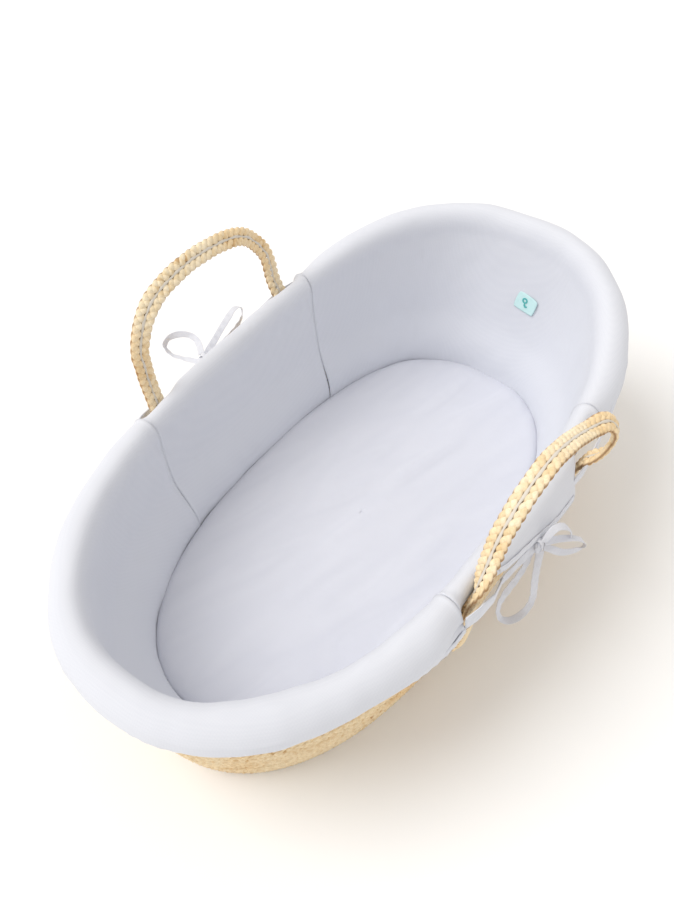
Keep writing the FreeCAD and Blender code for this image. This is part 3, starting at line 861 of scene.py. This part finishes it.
def add_base():
    """Coil of the same plait, laid flat from the edge to the middle, over a thin sheet of painted shade
    that darkens the gaps between the rows.
    """
    bundle = Bundle()
    lift = np.array([0.0, 0.0, -1.0])
    for row in range(BASE_ROWS):
        inset = (row + 0.6) * (BASE_HALF_WIDTH - 0.006) / BASE_ROWS
        angles = np.linspace(0, 2 * math.pi, 2001)
        x, y = oval(angles, BASE_HALF_LENGTH - inset, BASE_HALF_WIDTH - inset)
        outline = np.stack([x + BASE_SHIFT, y, np.full_like(x, 0.0052)], axis=1)
        line = respaced(outline, max(24, round(length_of(outline) / 0.0034)))[:-1]
        across = unit(np.cross(ring_step(line), lift))
        lifts = np.tile(lift, (len(line), 1))
        plait(bundle, line, across, lifts, BASE_PLAIT, 1.0, True, 6)
    settle(bundle.build("base_rows", PALM), "basket", "palm_braid", "woven_base")
    # Sheet under the rows, with no tone: painted shade in their gaps
    angles = turns(160)
    shares = np.linspace(1.0, 0.002, 24)
    x, y = oval(angles[:, None], BASE_HALF_LENGTH * shares[None, :], BASE_HALF_WIDTH * shares[None, :])
    front = np.stack([x + BASE_SHIFT, y, np.full_like(x, 0.0082)], axis=-1)
    settle(shell("base_gap_shade_sheet", front, GAP_SHADE_SHEET, PALM, ring=True), "basket", "palm_braid")


# Handles

def handle_route(handle):
    """Control points of a strap's middle line from one lashed end to the other, and their tilts."""
    side = handle["side"]
    route = [place for place, _ in handle["strap"]]
    tilts = [tilt for _, tilt in handle["strap"]]
    ends = []
    for foot in handle["feet"]:
        angle = angle_at(foot, side)
        low = wall_place(angle, TAIL_END, TAIL_STAND)
        high = wall_place(angle, TAIL_MID, TAIL_MID_STAND)
        ends.append([low, high])
    tilts = [90, 90, *tilts, math.copysign(90, tilts[-1]), math.copysign(90, tilts[-1])]
    return np.array([*ends[0], *route, *ends[1][::-1]]), tilts


def strap_frame(handle, line, route, tilts):
    """Unit vectors across the strap from its inner to its outer braid, and out of its face."""
    tangent = unit(np.gradient(line, axis=0))
    across = np.zeros_like(line) + np.array([0.0, handle["side"], 0.0])
    across = unit(across - tangent * np.einsum("ij,ij->i", across, tangent)[:, None])
    over = np.cross(tangent, across) * handle["side"]
    marks = [int(np.argmin(np.linalg.norm(line - place, axis=1))) for place in route]
    tilt = np.radians(np.interp(np.arange(len(line)), marks, tilts))
    tilt = relaxed(tilt[None, :, None], 60)[0]
    apart = across * np.cos(tilt) + over * np.sin(tilt)
    return apart, unit(np.cross(tangent, apart))


def add_handle(name):
    handle = HANDLES[name]
    route, tilts = handle_route(handle)
    line = smooth_line(route, 0.0014)
    apart, lift = strap_frame(handle, line, route, tilts)
    replaced = {
        "inner": [f"{name}_handle_inner_braid", f"{name}_handle_tail_foot"],
        "outer": [f"{name}_handle_outer_braid", f"{name}_handle_tail_head"],
    }
    for which, offset in (("inner", -BRAID_OFFSET), ("outer", BRAID_OFFSET)):
        bundle = Bundle()
        plait(bundle, line + apart * offset, apart, lift, STRAP_PLAIT, around=12)
        piece = bundle.build(f"{name}_strap_{which}", STRAP_PALM)
        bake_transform(piece)
        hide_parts(*replaced[which])
    cord = handle_tape(line, apart, lift).build(f"{name}_strap_cotton", CORD)
    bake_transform(cord)
    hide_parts(f"{name}_handle_cord")


def handle_tape(line, apart, lift):
    """Cotton tape threaded between a strap's two braids, lying in the groove on both faces."""
    bundle = Bundle()
    run = np.linspace(0, length_of(line), len(line))
    for face, phase in ((1, 0.0), (-1, 1.3)):
        sway = np.sin(run / 0.0041 + phase)[:, None]
        centre = line + lift * face * (0.0024 + 0.0004 * sway) + apart * 0.0003 * sway
        half, thick = STRAP_TAPE_HALF
        bundle.add(tube(centre, apart, lift, half + 0.0003 * sway[:, 0], thick, 12))
    return bundle


def add_lashings():
    """Palm stitches that hold the strap ends to the wall."""
    bundle = Bundle()
    for handle in HANDLES.values():
        for foot in handle["feet"]:
            angle = angle_at(foot, handle["side"])
            out, along = rim_axes(angle)
            for level in np.linspace(*LASHING_LEVELS, LASHINGS):
                centre = wall_place(angle, level, 0.002)
                turn = np.linspace(-0.1, math.pi + 0.1, 26)[:, None]
                bow = signed_power(np.sin(turn), 0.5)
                arc = along * np.cos(turn) * LASHING_HALF + out * bow * LASHING_DEPTH
                line = centre + arc + np.array([0, 0, 0.0015]) * np.cos(turn)
                tangent = unit(np.gradient(line, axis=0))
                flat = unit(arc)
                wide = unit(np.cross(tangent, flat))
                tone = np.zeros((26, 8, 3)) + np.array([0.7, 0.0, 0.8])
                bundle.add(tube(line, wide, unit(np.cross(wide, tangent)), *LASHING_STRAND, 8), tone)
    settle(bundle.build("strap_lashings", STRAP_PALM), "basket", "handle_braid", "handle_lashings")


# Liner

def mattress_edge(angle):
    """How far the mattress's outline stands outward of the rim; negative, because it lies inside."""
    x, y = rim_point(angle)
    nx, ny = outward(angle)
    near = np.full_like(x, -0.150)
    far = np.zeros_like(x)
    for _ in range(30):
        middle = (near + far) / 2
        across = (x + nx * middle - MATTRESS_SHIFT) / MATTRESS_HALF[0]
        power = 2 / np.where(across > 0, HEAD_POWER, FOOT_POWER)
        outside = np.abs(across) ** power + np.abs((y + ny * middle) / MATTRESS_HALF[1]) ** power > 1
        near, far = np.where(outside, near, middle), np.where(outside, middle, far)
    return near


def roll_slim(angle):
    """The rim bulges inward only round the corner between the foot and the near side."""
    return ROLL_SLIM * (1 - near_corner(angle, 0.42))


def liner_grid(angles, outer):
    """Front of the liner: up the wall, over the roll, and along the outer points given for each angle."""
    rows = []
    edges = mattress_edge(angles) + MATTRESS_CLEAR
    for angle, edge, slim, points in zip(angles, edges, roll_slim(angles), outer):
        middle = float(roll_height(angle))
        heights = np.linspace(LINER_LOW, middle - 0.022, 22)
        stands = wall_stand(angle, heights) + LINER_STAND
        high = np.clip((heights - MATTRESS_TOP + 0.006) / SWELL_HEIGHT, 0, 1)
        swell = high * high * (3 - 2 * high)
        stands = np.minimum(stands, edge * (1 - swell) + stands * swell)
        turn = np.radians(np.linspace(200, 90, 16))
        reach = ROLL_RADIUS - slim
        roll = np.stack([reach * np.cos(turn), middle + ROLL_RADIUS * np.sin(turn)], axis=1)
        wall = np.stack([stands, heights], axis=1)
        fold = np.array([(stand, middle + lift) for stand, lift in points])
        rows.append(respaced(np.concatenate([wall, roll, fold]), LINER_COLUMNS))
    profile = relaxed(np.array(rows), 8)
    return from_rim(angles[:, None], profile[..., 0], profile[..., 1]), profile


def puckered(grid, along, seed):
    """Small soft waves and dents of padded cotton, drawn in at the seams."""
    normal = normals_of(grid)
    slow = soft_noise(grid * np.array([1, 1, 0.6]), 0.060, seed) * 0.0011
    fine = soft_noise(grid, 0.020, seed + 1) * 0.00025
    ends = np.minimum(along - along[0], along[-1] - along)
    seam = -0.0013 * np.exp(-(ends / 0.0022) ** 2) + 0.0003 * np.exp(-((ends - 0.009) / 0.006) ** 2)
    return grid + normal * (slow + fine + seam[:, None])[..., None]


def end_fold(stand, tight, slant=0.0):
    """Outer points of an end panel: round the roll and down to the gathered hem."""
    turn = np.radians(np.linspace(84, -8, 11))
    reach = ROLL_RADIUS * (1 - 0.34 * tight)
    round_points = np.stack([reach * np.cos(turn), ROLL_RADIUS * np.sin(turn)], axis=1)
    steps = np.linspace(0.10, 0.92, 11)
    flat_points = np.stack([stand * steps ** 0.85 + 0.002, ROLL_RADIUS - 0.036 * steps ** 1.35], axis=1)
    points = round_points * (1 - slant) + flat_points * slant
    edge = np.array([stand, HEM_LIFT])
    return [*map(tuple, points), tuple((edge + points[-1]) / 2), tuple(edge)]


def near_corner(angle, reach):
    """1 at the corner between the foot and the near side, fading over reach."""
    return np.exp(-((np.mod(angle, 2 * math.pi) - CORNER_ANGLE) / reach) ** 2)


def hem_stand(x):
    return np.interp(x, [place for place, _ in HEM_STANDS], [stand for _, stand in HEM_STANDS])


def add_panel(name, grid, fill, *flaps):
    panel = shell(f"{name}_liner", grid, LINER_THICKNESS, LINER)
    settle(panel, "basket", "liner_cotton", f"{name}_panel", *flaps)


def add_end(name, start, end):
    angles, along = even_angles(start, end, LINER_STEP)
    to_seam = np.minimum(along, along[-1] - along)
    stands = hem_stand(rim_point(angles)[0])
    tights = np.exp(-(to_seam / 0.030) ** 2)
    slants = 0.25 * near_corner(angles, 0.75) * (1 - tights)
    outer = [end_fold(*values) for values in zip(stands, tights, slants)]
    grid, profile = liner_grid(angles, outer)
    lift = profile[..., 1] - roll_height(angles)[:, None]
    outside = np.clip(profile[..., 0] / 0.012, 0, 1) * np.clip((0.012 - lift) / 0.010, 0, 1)
    grid = puckered(grid, along, SEEDS[name])
    sway = soft_noise(grid, 0.045, SEEDS["creases"])
    waves = np.sin(lift / 0.0017 + sway * 2.2)
    ridges = RIDGE_DEPTH * waves * (0.35 + 0.65 * np.clip(sway + 0.4, 0, 1))
    gathers = GATHER_DEPTH * np.sin(along / 0.0021 + 3 * np.sin(along / 0.05))[:, None]
    gathers = gathers * np.clip((-0.006 - lift) / 0.008, 0, 1)
    grid = grid + normals_of(grid) * (outside * (ridges + gathers))[..., None]
    add_panel(name, grid, 0.5)
    add_wadding(name, start, end, -24)
    add_hem(f"{name}_skirt_hem", angles, along, grid[:, -1])


def add_wadding(name, start, end, last):
    """Soft filling of the rim roll, under the cotton."""
    angles, _ = even_angles(start, end, 0.008)
    turn = np.radians(np.linspace(186, last, 22))[None, :]
    reach = np.where(np.cos(turn) < 0, WADDING_INNER - ROLL_SLIM, WADDING_OUTER)
    height = roll_height(angles)[:, None] + WADDING_HEIGHT * np.sin(turn)
    front = from_rim(angles[:, None], reach * np.cos(turn), height)
    piece = shell(f"{name}_rim_filling", front, WADDING_THICKNESS, WADDING)
    settle(piece, "basket", "wadding", f"{name}_rim_wadding")


def add_hem(node, angles, along, edge):
    """Stitched band folded round the lower edge of a skirt or a flap."""
    out = np.stack(np.broadcast_arrays(*outward(angles), 0.0), axis=1)
    up = np.array([0.0, 0.0, 1.0])
    wave = 0.0003 * np.sin(along / 0.0031 + 2 * np.sin(along / 0.04))
    rows = [edge + out * (stand + wave)[:, None] + up * lift for stand, lift in HEM_SECTION]
    front = np.stack(rows, axis=1)
    piece = shell(node.replace("_hem", "_band"), front, HEM_THICKNESS, LINER)
    settle(piece, "basket", "liner_cotton", node)


def side_fold(stand, lift, seam):
    """Outer points of a side panel: over the roll, then straight to its free edge."""
    top = ROLL_RADIUS
    shoulder = min(stand * 0.75, 0.015)
    free = [(0.35 * shoulder, top * 0.985), (0.75 * shoulder, top * 0.93), (shoulder, top * 0.80)]
    steps = np.linspace(0.15, 1, 10)
    start = np.array(free[-1])
    end = np.array([stand, min(lift, start[1] - 0.004)])
    free += [tuple(start + (end - start) * step) for step in steps]
    joined = end_fold(SEAM_STAND, 1.0)
    return [tuple(np.array(a) * (1 - seam) + np.array(b) * seam) for a, b in zip(free, joined)]


def add_side(name):
    handle = HANDLES[name]
    side = handle["side"]
    first, last = sorted((angle_at(SEAM_FOOT, side), angle_at(SEAM_HEAD, side)))
    angles, along = even_angles(first, last, LINER_STEP)
    x = rim_point(angles)[0]
    places, stands, lifts = np.array(FLAP_EDGES[name]).T
    stands = relaxed(np.interp(x, places, stands)[None, :, None], 4)[0, :, 0]
    lifts = relaxed(np.interp(x, places, lifts)[None, :, None], 4)[0, :, 0]
    seams = np.exp(-(np.minimum(along, along[-1] - along) / 0.007) ** 2)
    outer = [side_fold(*values) for values in zip(stands, lifts, seams)]
    grid, _ = liner_grid(angles, outer)
    grid = puckered(grid, along, SEEDS[name])
    add_panel(name, grid, 0.4, f"{name}_flap")
    add_wadding(name, first, last, 84)
    inside = (x > FLAP_HEMS[name][0]) & (x < FLAP_HEMS[name][1])
    add_hem(f"{name}_flap_hem", angles[inside], along[inside], grid[inside, -1])


def add_skirt_end(name, end):
    """Narrow end of a skirt: from the seam, outside the strap, to its tie."""
    handle = HANDLES[name]
    side = handle["side"]
    bow = BOWS[name]
    tip = np.array(bow["knot"]) + np.array(bow[f"tie_{end}"][-1])
    seam = SEAM_FOOT if end == "foot" else SEAM_HEAD
    tip_x = tip[0] + (0.004 if end == "foot" else -0.004)
    angles, along = even_angles(angle_at(seam, side), angle_at(tip_x, side), 0.0026)
    share = (along / along[-1])[:, None]
    out = rim_axes(angles[-1])[0]
    tip_stand = (tip[:2] - np.array(rim_point(angles[-1]))) @ out[:2]
    middle = roll_height(angles)[:, None]
    high = SKIRT_END_TOPS[name]
    tip_lift = tip[2] - middle[-1, 0]
    top = np.interp(share, [0, 0.3, 0.8, 1], [high, high, -0.004, tip_lift + TIE_HALF])
    low = np.interp(share, [0, 0.4, 0.8, 1], [HEM_LIFT, -0.014, -0.0175, tip_lift - TIE_HALF])
    stand = np.interp(share, [0, 0.25, 0.6, 1], [0.0225, STRAP_CLEAR, STRAP_CLEAR + 0.001, tip_stand])
    across = np.linspace(0, 1, 12)[None, :]
    belly = 0.0012 * np.sin(across * math.pi) + 0.0005 * np.sin(across * 17 + share * 9) * (1 - share)
    height = middle + top * (1 - across) + low * across
    grid = from_rim(angles[:, None], stand + belly, height)
    if normals_of(grid)[len(grid) // 2, 6] @ out < 0:
        grid = grid[:, ::-1]
    piece = shell(f"{name}_skirt_end_{end}", grid, SKIRT_END_THICKNESS, LINER)
    settle(piece, "basket", "liner_cotton", f"{name}_skirt_tail_{end}")


def add_seam_threads():
    """Stitches along the seams between the panels, down the inside wall and over the roll."""
    bundle = Bundle()
    for side in (1, -1):
        for x in (SEAM_FOOT, SEAM_HEAD):
            angle = angle_at(x, side)
            grid, _ = liner_grid(np.array([angle]), [end_fold(SEAM_STAND, 1.0)])
            path = respaced(grid[0], 400)
            along = rim_axes(angle)[1]
            count = int(length_of(path) / STITCH_PITCH)
            for stitch in range(int(0.16 * count), count):
                first = stitch * len(path) // count
                last = first + int(0.75 * len(path) / count) + 1
                thread = respaced(path[first:last], 5)
                tangent = unit(np.gradient(thread, axis=0))
                up = unit(np.cross(tangent, along))
                wide = np.tile(along, (5, 1))
                bundle.add(tube(thread, wide, up, *THREAD_HALF, 6))
    settle(bundle.build("seam_stitches", THREAD), "basket", "thread", "seam_threads")


def add_label():
    """Small sewn tag with a plain leaf and ring motif."""
    middle = wall_place(LABEL_ANGLE, LABEL_HEIGHT, LINER_STAND - LABEL_STAND)
    above = wall_place(LABEL_ANGLE, LABEL_HEIGHT + 0.01, 0.0)
    below = wall_place(LABEL_ANGLE, LABEL_HEIGHT - 0.01, 0.0)
    level_rise = unit(above - below)
    level_along = rim_axes(LABEL_ANGLE)[1]
    face = unit(np.cross(level_rise, level_along))
    turn = math.radians(LABEL_TURN)
    along = level_along * math.cos(turn) + level_rise * math.sin(turn)
    rise = level_rise * math.cos(turn) - level_along * math.sin(turn)
    u, v = np.meshgrid(np.linspace(-1, 1, 17), np.linspace(-1, 1, 15), indexing="ij")
    corner = 1 - 0.10 * (np.abs(u) * np.abs(v)) ** 3
    curl = 0.0010 * u ** 2 - 0.0006 * v * u
    front = middle + along * (u * corner * LABEL_HALF[0])[..., None]
    front = front + rise * (v * corner * LABEL_HALF[1])[..., None]
    front = front + face * (0.0004 + curl)[..., None]
    if normals_of(front)[8, 7] @ face < 0:
        front = front[::-1]
    settle(shell("folded_tag", front, LABEL_THICKNESS, LABEL), "basket", "label", "sewn_label")
    add_motif(middle + face * MOTIF_STAND, along, rise, face)


def add_motif(middle, along, rise, face):
    """Two plain leaves and a ring."""
    bundle = Bundle()
    for tilt, size in LEAVES:
        steps = np.linspace(-1, 1, 14)
        width = 0.0012 * (1 - steps ** 2) + 0.00005
        way = along * math.sin(tilt) + rise * math.cos(tilt)
        line = middle - rise * 0.006 + way * ((steps + 1) * size / 2)[:, None]
        wide = np.tile(unit(np.cross(way, face)), (14, 1))
        bundle.add(tube(line, wide, np.tile(face, (14, 1)), width, MOTIF_THICKNESS, 8))
    turn = turns(24)[:, None]
    spoke = along * np.cos(turn) + rise * np.sin(turn)
    ring = middle + rise * 0.0035 + along * 0.003 + spoke * RING_RADIUS
    bundle.add(tube(ring, spoke, np.tile(face, (24, 1)), RING_HALF, MOTIF_THICKNESS, 8), ring=True)
    settle(bundle.build("tag_leaf", MOTIF), "basket", "label")


# Mattress

def mattress_profile(depth):
    """Outline shares from the middle of the underside, round the edge, to the middle of the top."""
    low = MATTRESS_LOW + depth
    top = MATTRESS_TOP - depth
    turn = np.radians(np.linspace(0, 90, 9))
    points = [(r, low) for r in np.linspace(CENTRE_SHARE, 0.94, 14)]
    points += [(0.965, low + 0.002), (0.975, low + 0.008), (0.985, low + 0.018)]
    drop = MATTRESS_EDGE * 0.62
    inset = MATTRESS_EDGE / MATTRESS_HALF[1] * 0.9
    points += [(1 - inset * (1 - math.cos(t)), top - drop * (1 - math.sin(t))) for t in turn]
    points += [(r, top + 0.0010 * (0.93 - r)) for r in np.linspace(0.90, CENTRE_SHARE, 46)]
    return np.array(points)


def mattress_grid(inset, wrinkle):
    angles = turns(300)
    profile = relaxed(mattress_profile(inset)[None], 1)[0]
    share = profile[:, 0][None, :]
    x, y = oval(angles[:, None], (MATTRESS_HALF[0] - inset) * share, (MATTRESS_HALF[1] - inset) * share)
    z = np.broadcast_to(profile[:, 1][None, :], x.shape)
    points = np.stack([x + MATTRESS_SHIFT, y, z], axis=-1)
    top = np.clip((z - 0.044) / 0.008, 0, 1)
    warp = points[..., :2] @ np.array([0.35, 1.0])
    drawn = np.stack([points[..., 0] * 0.28, warp, 0 * warp], axis=-1)
    folds = soft_noise(drawn, 0.016, SEEDS["sheet"]) * 0.0009
    folds = folds + soft_noise(drawn, 0.034, SEEDS["wide_sheet"]) * 0.0012
    points[..., 2] += np.clip(folds * wrinkle * top, -0.002, 0.0022)
    return points


def add_mattress():
    sheet_grid = mattress_grid(0.0, 1.0)
    outer = sheet_grid[:, 9:]
    sheet = shell("mattress_cover", outer[:, ::-1], SHEET_THICKNESS, SHEET, ring=True)
    settle(sheet, "mattress", "sheet_cotton", "fitted_sheet")
    pad = mattress_grid(PAD_INSET, 0.9)
    index = np.arange(pad.shape[0] * pad.shape[1]).reshape(pad.shape[:2])
    piece = add_object("mattress_pad", pad.reshape(-1, 3), quads(wrap(index[:, ::-1], True)), FOAM)
    settle(piece, "mattress", "foam", "mattress_core")


add_camera()
add_floor()
add_lighting()
for bow_name in BOWS:
    add_bow(bow_name)
for handle_name in HANDLES:
    add_handle(handle_name)
add_lashings()
add_wall()
add_border()
add_base()
add_end("head", angle_at(SEAM_HEAD, -1), angle_at(SEAM_HEAD, 1))
add_end("foot", angle_at(SEAM_FOOT, 1), 2 * math.pi + angle_at(SEAM_FOOT, -1))
for handle_name in HANDLES:
    add_side(handle_name)
    add_skirt_end(handle_name, "foot")
    add_skirt_end(handle_name, "head")
add_seam_threads()
add_label()
add_mattress()
